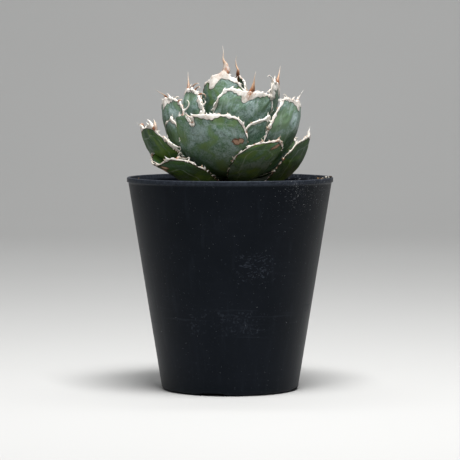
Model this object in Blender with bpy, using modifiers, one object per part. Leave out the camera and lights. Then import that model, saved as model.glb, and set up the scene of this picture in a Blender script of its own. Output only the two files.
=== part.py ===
"""A young agave with broad toothed leaves in a round black plastic pot. Metres, +Z up, the pot's foot on z = 0."""

from collections import namedtuple
from math import atan2, cos, hypot, pi, radians, sin, tan

import bmesh
import bpy
from mathutils import Matrix, Vector

MM = 0.001
GAP = 0.3 * MM  # left between pieces that touch

# Pot: a thin moulded cup with a proud lip, a rounded foot, a raised floor and drain holes.
POT_HEIGHT = 108.0 * MM
POT_RIM_RADIUS = 52.5 * MM
POT_FOOT_RADIUS = 35.0 * MM
POT_WALL = 1.2 * MM
LIP_HEIGHT = 2.5 * MM
LIP_PROUD = 0.7 * MM
LIP_ROUND = 0.6 * MM
FOOT_ROUND = 1.8 * MM
FOOT_RING_WIDTH = 2.4 * MM
FLOOR_RAISED = 2.2 * MM
FLOOR_THICKNESS = 1.4 * MM
NOTCH_COUNT = 4
NOTCH_FIRST = -15.0  # degrees round from the front
NOTCH_WIDTH = 12.0 * MM
NOTCH_HEIGHT = 1.2 * MM
DRAIN_CENTRE_RADIUS = 5.0 * MM
DRAIN_COUNT = 6
DRAIN_RADIUS = 2.6 * MM
DRAIN_CIRCLE = 19.0 * MM
POT_SIDES = 64

# Potting mix: fills the pot to a little below the rim.
MIX_BELOW_RIM = 8.0 * MM
MIX_EDGE_DROP = 0.8 * MM

# Stem and roots: a short tapered stem, a root crown and a few thick roots.
STEM_FOOT_RADIUS = 7.2 * MM
STEM_TOP_RADIUS = 2.3 * MM
CROWN_RADIUS = 8.4 * MM
CROWN_DEPTH = 9.0 * MM
ROOT_COUNT = 6
ROOT_RADIUS = 1.6 * MM
ROOT_TIP = 0.45  # share of ROOT_RADIUS left at the far end
ROOT_REACH = 24.0 * MM
ROOT_DEPTH = 58.0 * MM
STEM_SIDES = 32

# Leaves: each midrib is an arc in a plane through the stem, and each blade wraps round the stem like a shell.
ROSETTE_SIZE = 1.0  # scales every leaf in the table and the stem's length
LEAF_FOOT_HEIGHT = 1.3 * MM  # lowest leaf's attachment above the mix
LEAF_RISE = 0.72 * MM  # from one leaf's attachment to the next
FOOT_SLOPE_OUTER = -10.0  # degrees above level at which the outermost midrib leaves the stem
FOOT_SLOPE_INNER = 64.0
FOOT_SLOPE_POWER = 3.0
FOOT_HALF_WIDTH = 5.2 * MM
TIP_HALF_WIDTH = 1.1 * MM
WIDEST_AT = 0.78
BLADE_FOOT_THICKNESS = 1.1 * MM
BLADE_THICKNESS_PER_WIDTH = 0.10
BLADE_EDGE_THIN = 0.62
EDGE_CURL = 3.5 * MM
TWIST_POWER = 6.0
SPINE_RADIUS = 1.1 * MM
SPINE_POINT = 0.2
FOOT_GAP = 0.4 * MM  # between a blade's foot and the round of the stem
BLADE_STATIONS = (0.0, 0.12, 0.26, 0.40, 0.53, 0.66, 0.77, 0.86, 0.93, 0.975, 1.0)
SPINE_STATIONS = (0.3, 0.65, 1.0)
BLADE_COLUMNS = 5

# The rolled spear of unopened leaves in the middle.
SPEAR_RADIUS = 3.6 * MM
SPEAR_BELLY = 0.42
SPEAR_HEIGHT = 33.0 * MM
SPEAR_SPINE = 6.0 * MM
SPEAR_SIDES = 20

Leaf = namedtuple("Leaf", "name azimuth radius height half_width spine lean side twist lift")

# Outermost first. Azimuth in degrees from the front towards +X; tip radius, tip height above the mix, half width,
# spine length in mm; the spine's lean outward and sideways, and the tip's twist round the stem, in degrees; the
# lift of the edges in mm.
LEAVES = (
    Leaf("leaf_low_left", -37, 44.0, 14.5, 12.0, 6, 55, -10, -19, 3),
    Leaf("leaf_right_outer", 74, 40.5, 28.5, 14.0, 6, 10, 0, 9, 0),
    Leaf("leaf_low_back_left", -138, 42.0, 18.0, 14.0, 6, 40, 0, 0, 0),
    Leaf("leaf_low_back_right", 137, 43.0, 20.0, 14.5, 6, 40, 0, 0, 0),
    Leaf("leaf_left_outer", -80, 44.5, 31.0, 12.0, 6, 45, 0, -9, 0),
    Leaf("leaf_low_back", -178, 41.2, 28.0, 12.3, 7, 40, 0, 0, 0),
    Leaf("leaf_low_front_left", -48, 36.0, 18.0, 6.8, 3, 20, 0, 4, 0),
    Leaf("leaf_front_right", 21, 39.0, 26.5, 11.5, 4, 30, 20, 17, 0),
    Leaf("leaf_mid_back_right", 118, 36.0, 27.0, 15.0, 7, 10, 0, 0, 0),
    Leaf("leaf_mid_back_left", -126, 36.0, 27.0, 15.0, 7, 10, 0, 0, 0),
    Leaf("leaf_front", -15, 39.8, 40.0, 18.5, 8, 0, 10, -5, 0),
    Leaf("leaf_mid_back", 160, 38.0, 36.0, 16.0, 8, 30, 0, 0, 0),
    Leaf("leaf_mid_front_left", -54, 36.2, 37.0, 6.5, 4, 0, 0, 0, 0),
    Leaf("leaf_right", 63, 35.7, 45.5, 17.2, 8, 30, 15, 12, 0),
    Leaf("leaf_left", -66, 34.2, 48.0, 17.0, 8, 60, 10, -7, 0),
    Leaf("leaf_back_left", -149, 33.6, 43.0, 17.2, 8, 10, 0, 0, 0),
    Leaf("leaf_back_right", 124, 33.0, 38.0, 17.0, 6, 10, 0, 0, 0),
    Leaf("leaf_mid_front_right", 31, 30.5, 38.0, 9.5, 4, 0, 0, 8, 0),
    Leaf("leaf_back", 178, 29.0, 49.0, 16.0, 10, 10, 0, 0, 0),
    Leaf("leaf_upper_left", -82, 22.0, 52.0, 13.0, 10, 5, -10, -12, 0),
    Leaf("leaf_upper_right", 15, 26.0, 51.0, 17.0, 11, 5, 5, 10, 0),
    Leaf("leaf_upper_far_right", 93, 24.6, 55.0, 11.0, 10, 15, 15, 2, 0),
    Leaf("leaf_upper_back_left", -127, 18.4, 46.0, 10.2, 6, 5, 0, 0, 0),
    Leaf("leaf_upper_back", 147, 16.2, 49.0, 10.2, 6, 0, 0, 0, 0),
    Leaf("leaf_bud_front", -24, 11.0, 61.0, 14.5, 14, 0, 0, 6, 0),
    Leaf("leaf_bud_left", -125, 8.0, 52.0, 7.0, 6, 5, 0, 0, 0),
    Leaf("leaf_bud_back", 140, 7.0, 59.0, 8.0, 11, 5, 5, 0, 0),
)

MIX_TOP = POT_HEIGHT - MIX_BELOW_RIM
LAST_LEAF = len(LEAVES) - 1
STEM_FOOT = MIX_TOP + LEAF_FOOT_HEIGHT
STEM_LENGTH = LEAF_RISE * LAST_LEAF * ROSETTE_SIZE


def clear_scene():
    for thing in list(bpy.data.objects):
        bpy.data.objects.remove(thing, do_unlink=True)
    for group in list(bpy.data.collections):
        bpy.data.collections.remove(group)


def new_collection(name, hidden=False):
    group = bpy.data.collections.new(name)
    bpy.context.scene.collection.children.link(group)
    group.hide_render = hidden
    return group


def new_object(name, mesh, group):
    thing = bpy.data.objects.new(name, mesh)
    group.objects.link(thing)
    return thing


def new_cutter(name, mesh):
    thing = new_object(name, mesh, CUTTERS)
    thing.hide_render = True
    thing.display_type = "WIRE"
    return thing


def plain_material(name, colour, roughness, metallic=0.0):
    material = bpy.data.materials.new(name)
    material.use_nodes = True
    shader = material.node_tree.nodes["Principled BSDF"]
    shader.inputs["Base Color"].default_value = (*colour, 1.0)
    shader.inputs["Roughness"].default_value = roughness
    shader.inputs["Metallic"].default_value = metallic
    material.diffuse_color = (*colour, 1.0)
    return material


def turned(name, profile, sides, group):
    """A body of revolution. The profile is (radius, height) pairs from the axis round to the axis, outer side going down."""
    mesh = bpy.data.meshes.new(name)
    edges = [(i, i + 1) for i in range(len(profile) - 1)]
    mesh.from_pydata([(r, 0.0, z) for r, z in profile], edges, [])
    thing = new_object(name, mesh, group)
    screw = thing.modifiers.new("turn", "SCREW")
    screw.steps = sides
    screw.render_steps = sides
    screw.use_merge_vertices = True
    screw.merge_threshold = 0.00001
    screw.use_smooth_shade = False
    return thing


def baked(thing):
    """Replaces an object's modifiers by the mesh that they make, with shared points joined."""
    graph = bpy.context.evaluated_depsgraph_get()
    mesh = bpy.data.meshes.new_from_object(thing.evaluated_get(graph), depsgraph=graph)
    work = bmesh.new()
    work.from_mesh(mesh)
    bmesh.ops.remove_doubles(work, verts=work.verts, dist=0.000005)
    bmesh.ops.recalc_face_normals(work, faces=work.faces)
    work.to_mesh(mesh)
    work.free()
    thing.modifiers.clear()
    thing.data = mesh
    mesh.name = thing.name


def boolean(thing, other, operation):
    modifier = thing.modifiers.new(other.name, "BOOLEAN")
    modifier.operation = operation
    modifier.solver = "EXACT"
    modifier.object = other


def round_corner(centre_r, centre_z, radius, first, last, steps=3):
    """Points on a quarter round, angles in degrees from +r towards +z."""
    angles = [radians(first + (last - first) * i / steps) for i in range(steps + 1)]
    return [(centre_r + radius * cos(a), centre_z + radius * sin(a)) for a in angles]


def wall_radius(z):
    """Outside radius of the pot's straight wall, from foot to just under the lip."""
    top = POT_HEIGHT - LIP_HEIGHT
    share = (z - FOOT_ROUND) / (top - FOOT_ROUND)
    return POT_FOOT_RADIUS + (POT_RIM_RADIUS - LIP_PROUD - POT_FOOT_RADIUS) * share


def make_pot():
    floor_top = FLOOR_RAISED + FLOOR_THICKNESS
    lip_low = POT_HEIGHT - LIP_HEIGHT
    inner_top = wall_radius(POT_HEIGHT) - POT_WALL
    ring_inner = POT_FOOT_RADIUS - FOOT_ROUND - FOOT_RING_WIDTH
    profile = [(0.0, floor_top), (wall_radius(floor_top + POT_WALL) - 2 * POT_WALL, floor_top)]
    profile += [(wall_radius(floor_top + POT_WALL) - POT_WALL, floor_top + POT_WALL)]
    profile += [(inner_top, POT_HEIGHT - LIP_ROUND)]
    profile += [(inner_top + 0.3 * LIP_ROUND, POT_HEIGHT)]
    profile += round_corner(POT_RIM_RADIUS - LIP_ROUND, POT_HEIGHT - LIP_ROUND, LIP_ROUND, 90, 0)
    profile += [(POT_RIM_RADIUS, lip_low + 0.5 * LIP_PROUD), (wall_radius(lip_low), lip_low - 0.2 * LIP_PROUD)]
    profile += round_corner(POT_FOOT_RADIUS - FOOT_ROUND, FOOT_ROUND, FOOT_ROUND, 0, -90)
    profile += [(ring_inner, 0.0), (ring_inner - 0.5 * MM, FLOOR_RAISED), (0.0, FLOOR_RAISED)]
    pot = turned("pot", profile, POT_SIDES, PARTS)
    baked(pot)
    for i in range(NOTCH_COUNT):
        angle = radians(NOTCH_FIRST + 360.0 * i / NOTCH_COUNT)
        boolean(pot, block(f"notch_{i}", angle, POT_FOOT_RADIUS, NOTCH_WIDTH, NOTCH_HEIGHT), "DIFFERENCE")
    boolean(pot, drain("drain_centre", 0.0, 0.0, DRAIN_CENTRE_RADIUS), "DIFFERENCE")
    for i in range(DRAIN_COUNT):
        angle = 2.0 * pi * i / DRAIN_COUNT
        hole = drain(f"drain_{i}", DRAIN_CIRCLE * sin(angle), -DRAIN_CIRCLE * cos(angle), DRAIN_RADIUS)
        boolean(pot, hole, "DIFFERENCE")
    pot.data.materials.append(plain_material("pot_plastic", (0.018, 0.021, 0.030), 0.42))


def block(name, angle, distance, width, height):
    """A box lying across the foot ring, from below the foot up to the notch's height."""
    size = Matrix.Diagonal((width, 4.0 * FOOT_RING_WIDTH, 2.0 * height, 1.0))
    place = Matrix.Rotation(angle, 4, "Z") @ Matrix.Translation((0.0, -distance, 0.0))
    work = bmesh.new()
    bmesh.ops.create_cube(work, size=1.0, matrix=place @ size)
    mesh = bpy.data.meshes.new(name)
    work.to_mesh(mesh)
    work.free()
    return new_cutter(name, mesh)


def drain(name, x, y, radius):
    work = bmesh.new()
    bmesh.ops.create_cone(
        work, cap_ends=True, segments=20, radius1=radius, radius2=radius, depth=6.0 * FLOOR_THICKNESS
    )
    bmesh.ops.translate(work, verts=work.verts, vec=(x, y, FLOOR_RAISED + 0.5 * FLOOR_THICKNESS))
    mesh = bpy.data.meshes.new(name)
    work.to_mesh(mesh)
    work.free()
    return new_cutter(name, mesh)


def make_mix():
    low = FLOOR_RAISED + FLOOR_THICKNESS + GAP
    inside = POT_WALL + GAP
    edge = MIX_TOP - MIX_EDGE_DROP
    corner = low + 1.5 * MM
    profile = [(0.0, MIX_TOP), (0.8 * POT_FOOT_RADIUS, MIX_TOP), (wall_radius(edge) - inside, edge)]
    profile += [(wall_radius(corner) - inside, corner), (wall_radius(corner) - inside - 1.5 * MM, low), (0.0, low)]
    mix = turned("potting_mix", profile, POT_SIDES, PARTS)
    baked(mix)
    hole = stem_with_roots("root_room", 1.2 * GAP, CUTTERS)
    hole.hide_render = True
    hole.display_type = "WIRE"
    boolean(mix, hole, "DIFFERENCE")
    mix.data.materials.append(plain_material("potting_mix", (0.110, 0.082, 0.058), 0.95))


def stem_radius(share):
    return STEM_FOOT_RADIUS + (STEM_TOP_RADIUS - STEM_FOOT_RADIUS) * share


def stem_with_roots(name, extra, group):
    """The stem, crown and roots as one grown piece, every face moved out by `extra`."""
    crown = MIX_TOP - CROWN_DEPTH
    top = STEM_FOOT + STEM_LENGTH
    profile = [(0.0, top + extra), (0.6 * STEM_TOP_RADIUS + extra, top + extra)]
    profile += [(STEM_TOP_RADIUS + extra, top - 0.8 * MM), (STEM_FOOT_RADIUS + extra, STEM_FOOT)]
    profile += [(CROWN_RADIUS + extra, MIX_TOP - 0.4 * CROWN_DEPTH), (0.7 * CROWN_RADIUS + extra, crown - extra)]
    profile += [(0.0, crown - 0.3 * CROWN_DEPTH - extra)]
    thing = turned(name, profile, STEM_SIDES, group)
    baked(thing)
    for i in range(ROOT_COUNT):
        boolean(thing, root(f"{name}_{i}", i, extra), "UNION")
    baked(thing)
    return thing


def root(name, i, extra):
    """One thick root: a tapered tube from inside the crown, out and down into the mix."""
    angle = 2.0 * pi * (i + 0.5 * (i % 2)) / ROOT_COUNT
    reach = ROOT_REACH * (1.0 - 0.18 * (i % 3))
    depth = ROOT_DEPTH * (0.72 + 0.14 * (i % 3))
    start = MIX_TOP - 0.75 * CROWN_DEPTH
    course = (
        (0.35 * CROWN_RADIUS, start, 1.0),
        (0.55 * reach, start - 0.10 * depth, 1.0),
        (0.85 * reach, start - 0.45 * depth, 0.8),
        (0.95 * reach, start - 0.75 * depth, 0.6),
        (reach, start - depth, ROOT_TIP),
    )
    curve = bpy.data.curves.new(name, "CURVE")
    curve.dimensions = "3D"
    curve.bevel_depth = ROOT_RADIUS + extra
    curve.bevel_resolution = 1
    curve.use_fill_caps = True
    line = curve.splines.new("POLY")
    line.points.add(len(course) - 1)
    for point, (r, z, share) in zip(line.points, course):
        point.co = (r * sin(angle), -r * cos(angle), z, 1.0)
        point.radius = (ROOT_RADIUS * share + extra) / (ROOT_RADIUS + extra)
    line.points[-1].co.z -= extra
    tube = new_cutter(name + "_line", curve)
    bpy.context.view_layer.update()
    graph = bpy.context.evaluated_depsgraph_get()
    mesh = bpy.data.meshes.new_from_object(tube.evaluated_get(graph), depsgraph=graph)
    work = bmesh.new()
    work.from_mesh(mesh)
    bmesh.ops.remove_doubles(work, verts=work.verts, dist=0.000005)
    bmesh.ops.recalc_face_normals(work, faces=work.faces)
    work.to_mesh(mesh)
    work.free()
    bpy.data.objects.remove(tube, do_unlink=True)
    return new_cutter(name, mesh)


class Blade:
    """The rule that one leaf follows. Lengths in metres; s runs along the midrib, u from -1 to 1 across it."""

    def __init__(self, leaf, rank):
        self.leaf = leaf
        self.age = rank / LAST_LEAF
        size = MM * ROSETTE_SIZE
        slope = FOOT_SLOPE_OUTER + (FOOT_SLOPE_INNER - FOOT_SLOPE_OUTER) * self.age**FOOT_SLOPE_POWER
        self.foot_slope = radians(slope)
        self.foot_z = STEM_FOOT + LEAF_RISE * rank * ROSETTE_SIZE
        inward = BLADE_FOOT_THICKNESS * max(sin(self.foot_slope), 0.0)
        self.foot_r = stem_radius(self.age) + FOOT_GAP + inward
        self.half_width = leaf.half_width * size
        self.spine = leaf.spine * size
        rise = MIX_TOP + leaf.height * size - self.foot_z
        run = leaf.radius * size - self.foot_r
        tip_slope = 2.0 * atan2(rise, run) - self.foot_slope
        half_turn = 0.5 * (tip_slope - self.foot_slope)
        self.length = hypot(rise, run) * half_turn / sin(half_turn)
        self.bend = 2.0 * half_turn / self.length

    def midrib(self, s):
        """(radius, height, slope, distance past the tip) at s."""
        slope = self.foot_slope + self.bend * min(s, self.length)
        r = self.foot_r + (sin(slope) - sin(self.foot_slope)) / self.bend
        z = self.foot_z - (cos(slope) - cos(self.foot_slope)) / self.bend
        past = max(s - self.length, 0.0)
        if past > 0.0:
            lean = radians(self.leaf.lean)
            return r + past * sin(lean), z + past * cos(lean), 0.5 * pi - lean, past
        return r, z, slope, past

    def width_at(self, s):
        if s > self.length:
            return SPINE_RADIUS * max(1.0 - (s - self.length) / self.spine, 0.6 * SPINE_POINT)
        v = s / self.length
        foot = min(FOOT_HALF_WIDTH, 0.5 * self.half_width)
        if v < WIDEST_AT:
            return foot + (self.half_width - foot) * sin(0.5 * pi * v / WIDEST_AT) ** 1.35
        fall = ((v - WIDEST_AT) / (1.0 - WIDEST_AT)) ** 4
        return TIP_HALF_WIDTH + (self.half_width - TIP_HALF_WIDTH) * max(1.0 - fall, 0.0) ** 0.5

    def thickness_at(self, s):
        if s > self.length:
            return SPINE_RADIUS * max(1.0 - (s - self.length) / self.spine, SPINE_POINT)
        extra = BLADE_THICKNESS_PER_WIDTH * self.half_width - 0.1 * MM
        swell = sin(pi * min(1.05 * s / self.length, 1.0)) ** 0.8
        return BLADE_FOOT_THICKNESS + extra * max(swell, 0.0)

    def point(self, u, s, inner):
        """A point of the outer face, or with inner = 1 of the inner face."""
        leaf = self.leaf
        r, z, slope, past = self.midrib(s)
        width = self.width_at(s)
        twist = leaf.twist * min(s / self.length, 1.0) ** TWIST_POWER
        angle = radians(leaf.azimuth + twist) + u * width / max(r, 7.0 * MM)
        edge = (width / self.half_width) ** 2 * u * u if past == 0.0 else 0.0
        depth = inner * self.thickness_at(s) * (1.0 - BLADE_EDGE_THIN * u * u)
        depth += EDGE_CURL * (1.0 - self.age) ** 1.5 * max(cos(slope), 0.0) * edge
        r -= depth * sin(slope)
        z += depth * cos(slope) + leaf.lift * MM * edge
        sideways = past * tan(radians(leaf.side))
        heading = radians(leaf.azimuth + leaf.twist)
        return Vector(
            (r * sin(angle) + sideways * cos(heading), -r * cos(angle) + sideways * sin(heading), z)
        )


def make_leaf(leaf, rank):
    """A flat grid is thickened, then laid along the leaf's rule: columns across, rows from foot to spine tip."""
    blade = Blade(leaf, rank)
    stations = [blade.length * v for v in BLADE_STATIONS]
    stations += [blade.length + blade.spine * v for v in SPINE_STATIONS]
    work = bmesh.new()
    bmesh.ops.create_grid(
        work, x_segments=BLADE_COLUMNS - 1, y_segments=len(stations) - 1, size=1.0
    )
    outer = list(work.verts)
    lifted = bmesh.ops.extrude_face_region(work, geom=work.faces[:], use_keep_orig=True)
    inner = [item for item in lifted["geom"] if isinstance(item, bmesh.types.BMVert)]
    for side, verts in ((0.0, outer), (1.0, inner)):
        for vert in verts:
            row = round((vert.co.y + 1.0) * 0.5 * (len(stations) - 1))
            vert.co = blade.point(vert.co.x, stations[row], side)
    bmesh.ops.triangulate(work, faces=work.faces[:])
    bmesh.ops.recalc_face_normals(work, faces=work.faces)
    mesh = bpy.data.meshes.new(leaf.name)
    work.to_mesh(mesh)
    work.free()
    thing = new_object(leaf.name, mesh, PARTS)
    old = (0.115, 0.185, 0.085)
    young = (0.330, 0.420, 0.370)
    share = min(1.0, 1.6 * blade.age)
    colour = [a + (b - a) * share for a, b in zip(old, young)]
    mesh.materials.append(plain_material(leaf.name, colour, 0.55))
    return thing


def make_spear():
    low = STEM_FOOT + STEM_LENGTH + GAP
    height = SPEAR_HEIGHT * ROSETTE_SIZE
    belly = low + SPEAR_BELLY * height
    tip = low + height
    profile = [(0.0, tip + SPEAR_SPINE), (0.2 * SPINE_RADIUS, tip + SPEAR_SPINE), (0.8 * SPINE_RADIUS, tip)]
    profile += [(0.55 * SPEAR_RADIUS, tip - 0.18 * height), (0.85 * SPEAR_RADIUS, tip - 0.36 * height)]
    profile += [(SPEAR_RADIUS, belly), (0.80 * SPEAR_RADIUS, low + 0.15 * height)]
    profile += [(0.45 * SPEAR_RADIUS, low), (0.0, low)]
    spear = turned("leaf_spear", profile, SPEAR_SIDES, PARTS)
    baked(spear)
    spear.data.materials.append(plain_material("leaf_spear", (0.380, 0.450, 0.370), 0.6))


clear_scene()
PARTS = new_collection("potted_agave")
CUTTERS = new_collection("cutters", hidden=True)
make_pot()
make_mix()
stem = stem_with_roots("stem_and_roots", 0.0, PARTS)
stem.data.materials.append(plain_material("stem_and_roots", (0.420, 0.380, 0.260), 0.8))
for rank, leaf in enumerate(LEAVES):
    make_leaf(leaf, rank)
make_spear()
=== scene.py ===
"""Looks of a potted agave: toothed, cupped leaves with a pale horny edge, in a scuffed black plastic pot."""

import random
from collections import namedtuple
from math import atan2, cos, hypot, pi, radians, sin, tan

import bmesh
import bpy
import numpy as np
from mathutils import Matrix, Vector, noise


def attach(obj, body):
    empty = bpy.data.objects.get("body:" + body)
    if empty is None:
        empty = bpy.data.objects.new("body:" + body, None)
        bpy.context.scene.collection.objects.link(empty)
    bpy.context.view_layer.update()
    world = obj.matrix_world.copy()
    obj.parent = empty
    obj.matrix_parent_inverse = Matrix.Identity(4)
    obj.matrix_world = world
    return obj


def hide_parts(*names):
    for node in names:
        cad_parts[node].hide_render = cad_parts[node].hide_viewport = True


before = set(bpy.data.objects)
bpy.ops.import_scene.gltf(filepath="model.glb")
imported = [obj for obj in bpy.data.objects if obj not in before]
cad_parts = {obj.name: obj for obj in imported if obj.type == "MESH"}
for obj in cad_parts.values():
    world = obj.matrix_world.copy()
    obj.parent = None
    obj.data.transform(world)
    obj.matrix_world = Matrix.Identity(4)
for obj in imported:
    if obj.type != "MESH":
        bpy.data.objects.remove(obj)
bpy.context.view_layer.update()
MM = 0.001

# ---------------- sizes, in millimetres

POT_HEIGHT = 108.0
POT_RIM = 52.5
POT_FOOT = 35.0
POT_WALL = 1.2
LIP_HEIGHT = 2.5
LIP_PROUD = 0.7
LIP_ROUND = 0.6
FOOT_ROUND = 1.8
FOOT_RING = 2.4
FLOOR_LOW = 2.2
FLOOR_THICK = 1.4
NOTCH_AT = (-15.0, 75.0, 165.0, 255.0)
NOTCH_WIDE = 12.0
NOTCH_HIGH = 1.2
DRAIN_MIDDLE = 5.0
DRAIN_SMALL = 2.6
DRAIN_CIRCLE = 19.0
DRAINS = 6
PLUG_LONG = 6.0  # the cutter of a drain hole, longer than the floor is thick
POT_SIDES = 180
MIX_TOP = 100.0

STEM_FOOT = 101.3
STEM_RADII = (7.2, 2.3)  # at the lowest leaf and at the highest
LEAF_RISE = 0.72  # from one leaf's foot to the next
FOOT_GAP = 0.4  # between the stem and a leaf's foot
FOOT_SLOPES = (-10.0, 64.0)  # degrees, at the lowest leaf and at the highest
FOOT_WIDE = 5.2  # the most half width of a foot
BLADE_FOOT = 1.1  # a foot's thickness
THICK_PER_WIDTH = 0.10  # a blade's thickest, over half its width
EDGE_THICK = 0.75
EDGE_MIDDLE = 0.45  # how deep in the blade its teeth and spine stand
WIDEST = 0.78  # share of a leaf's length at which it is widest
EDGE_CURL = 3.5  # how far the lowest leaf's edges curl in

Leaf = namedtuple("Leaf", "name azimuth radius height half spine lean side twist lift")

# Outermost first: azimuth from the front, tip radius, tip height over the mix, half width, spine
# length, the spine's lean outward and sideways, the tip's twist round the stem, the edges' lift.
LEAVES = (
    Leaf("leaf_low_left", -37, 44.0, 14.5, 12.0, 6, 55, -10, -19, 3),
    Leaf("leaf_right_outer", 74, 40.5, 28.5, 14.0, 6, 10, 0, 9, 0),
    Leaf("leaf_low_back_left", -138, 42.0, 18.0, 14.0, 6, 40, 0, 0, 0),
    Leaf("leaf_low_back_right", 137, 43.0, 20.0, 14.5, 6, 40, 0, 0, 0),
    Leaf("leaf_left_outer", -80, 44.5, 31.0, 12.0, 6, 45, 0, -9, 0),
    Leaf("leaf_low_back", -178, 41.2, 28.0, 12.3, 7, 40, 0, 0, 0),
    Leaf("leaf_low_front_left", -48, 36.0, 18.0, 6.8, 3, 20, 0, 4, 0),
    Leaf("leaf_front_right", 21, 39.0, 26.5, 11.5, 4, 30, 20, 17, 0),
    Leaf("leaf_mid_back_right", 118, 36.0, 27.0, 15.0, 7, 10, 0, 0, 0),
    Leaf("leaf_mid_back_left", -126, 36.0, 27.0, 15.0, 7, 10, 0, 0, 0),
    Leaf("leaf_front", -15, 39.8, 40.0, 18.5, 8, 0, 10, -5, 0),
    Leaf("leaf_mid_back", 160, 38.0, 36.0, 16.0, 8, 30, 0, 0, 0),
    Leaf("leaf_mid_front_left", -54, 36.2, 37.0, 6.5, 4, 0, 0, 0, 0),
    Leaf("leaf_right", 63, 35.7, 45.5, 17.2, 8, 30, 15, 12, 0),
    Leaf("leaf_left", -66, 34.2, 48.0, 17.0, 8, 60, 10, -7, 0),
    Leaf("leaf_back_left", -149, 33.6, 43.0, 17.2, 8, 10, 0, 0, 0),
    Leaf("leaf_back_right", 124, 33.0, 38.0, 17.0, 6, 10, 0, 0, 0),
    Leaf("leaf_mid_front_right", 31, 30.5, 38.0, 9.5, 4, 0, 0, 8, 0),
    Leaf("leaf_back", 178, 29.0, 49.0, 16.0, 10, 10, 0, 0, 0),
    Leaf("leaf_upper_left", -82, 22.0, 52.0, 13.0, 10, 5, -10, -12, 0),
    Leaf("leaf_upper_right", 15, 26.0, 51.0, 17.0, 11, 5, 5, 10, 0),
    Leaf("leaf_upper_far_right", 93, 24.6, 55.0, 11.0, 10, 15, 15, 2, 0),
    Leaf("leaf_upper_back_left", -127, 18.4, 46.0, 10.2, 6, 5, 0, 0, 0),
    Leaf("leaf_upper_back", 147, 16.2, 49.0, 10.2, 6, 0, 0, 0, 0),
    Leaf("leaf_bud_front", -24, 11.0, 61.0, 14.5, 14, 0, 0, 6, 0),
    Leaf("leaf_bud_left", -125, 8.0, 52.0, 7.0, 6, 5, 0, 0, 0),
    Leaf("leaf_bud_back", 140, 7.0, 59.0, 8.0, 11, 5, 5, 0, 0),
)
LAST = len(LEAVES) - 1

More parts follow.
